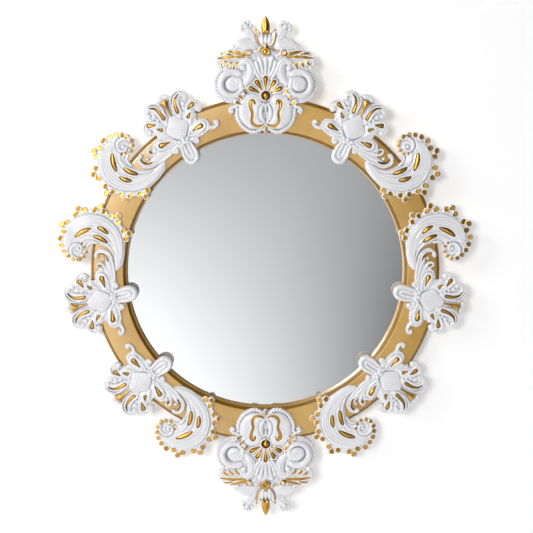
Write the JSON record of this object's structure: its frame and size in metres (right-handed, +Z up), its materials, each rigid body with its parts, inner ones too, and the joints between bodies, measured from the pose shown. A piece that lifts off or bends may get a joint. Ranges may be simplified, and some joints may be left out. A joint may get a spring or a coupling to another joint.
{
  "type": "wall mirror",
  "caption": "Round wall mirror: flat glass in a flat gilded ring, with glazed porcelain crests, palmettes and paisleys on its face, hung on keyhole plates.",
  "frame": {"origin": "on the wall plane, midway between the necks of the two keyhole hangers that the mirror hangs on", "axes": "+Z up, +X to the right seen from the front, +Y into the wall; the glass faces -Y"},
  "size_m": [0.7824, 0.0473, 0.956],
  "materials": {
    "gilded_wood": "satin gold leaf on carved wood",
    "mirror": "silvered float glass",
    "board": "raw hardboard",
    "porcelain": "glossy white glaze with gold lustre",
    "steel": "zinc plated",
    "brass": "satin",
    "rubber": "matt"
  },
  "bodies": {
    "mirror": {"ring_frame": "gilded_wood", "mirror_glass": "mirror", "backing_board": "board", "crest_top": "porcelain", "crest_bottom": "porcelain", "palmette_upper_left": "porcelain", "palmette_upper_right": "porcelain", "palmette_middle_left": "porcelain", "palmette_middle_right": "porcelain", "palmette_lower_left": "porcelain", "palmette_lower_right": "porcelain", "paisley_upper_left": "porcelain", "paisley_upper_right": "porcelain", "paisley_middle_left": "porcelain", "paisley_middle_right": "porcelain", "paisley_lower_left": "porcelain", "paisley_lower_right": "porcelain", "crest_top_bolt_1": "steel", "crest_top_bolt_2": "steel", "crest_bottom_bolt_1": "steel", "crest_bottom_bolt_2": "steel", "palmette_upper_left_bolt": "steel", "palmette_upper_right_bolt": "steel", "palmette_middle_left_bolt": "steel", "palmette_middle_right_bolt": "steel", "palmette_lower_left_bolt": "steel", "palmette_lower_right_bolt": "steel", "paisley_upper_left_bolt": "steel", "paisley_upper_right_bolt": "steel", "paisley_middle_left_bolt": "steel", "paisley_middle_right_bolt": "steel", "paisley_lower_left_bolt": "steel", "paisley_lower_right_bolt": "steel", "hanger_plate_left": "steel", "hanger_plate_right": "steel", "hanger_screw_left_top": "steel", "hanger_screw_left_bottom": "steel", "hanger_screw_right_top": "steel", "hanger_screw_right_bottom": "steel", "turn_button_screw_upper_left": "brass", "turn_button_screw_upper_right": "brass", "turn_button_screw_lower_left": "brass", "turn_button_screw_lower_right": "brass", "wall_bumper_upper_left": "rubber", "wall_bumper_upper_right": "rubber", "wall_bumper_lower_left": "rubber", "wall_bumper_lower_right": "rubber"},
    "turn_button_upper_left": {"turn_button_upper_left": "brass"},
    "turn_button_upper_right": {"turn_button_upper_right": "brass"},
    "turn_button_lower_left": {"turn_button_lower_left": "brass"},
    "turn_button_lower_right": {"turn_button_lower_right": "brass"}
  },
  "joints": [
    {"name": "turn_button_upper_left_swivel", "type": "hinge", "parent": "mirror", "child": "turn_button_upper_left", "pos_m": [-0.25739, -0.0067, -0.11694], "axis": [0, 1, 0], "continuous": true},
    {"name": "turn_button_upper_right_swivel", "type": "hinge", "parent": "mirror", "child": "turn_button_upper_right", "pos_m": [0.25739, -0.0067, -0.11694], "axis": [0, 1, 0], "continuous": true},
    {"name": "turn_button_lower_left_swivel", "type": "hinge", "parent": "mirror", "child": "turn_button_lower_left", "pos_m": [-0.25739, -0.0067, -0.35698], "axis": [0, 1, 0], "continuous": true},
    {"name": "turn_button_lower_right_swivel", "type": "hinge", "parent": "mirror", "child": "turn_button_lower_right", "pos_m": [0.25739, -0.0067, -0.35698], "axis": [0, 1, 0], "continuous": true}
  ]
}
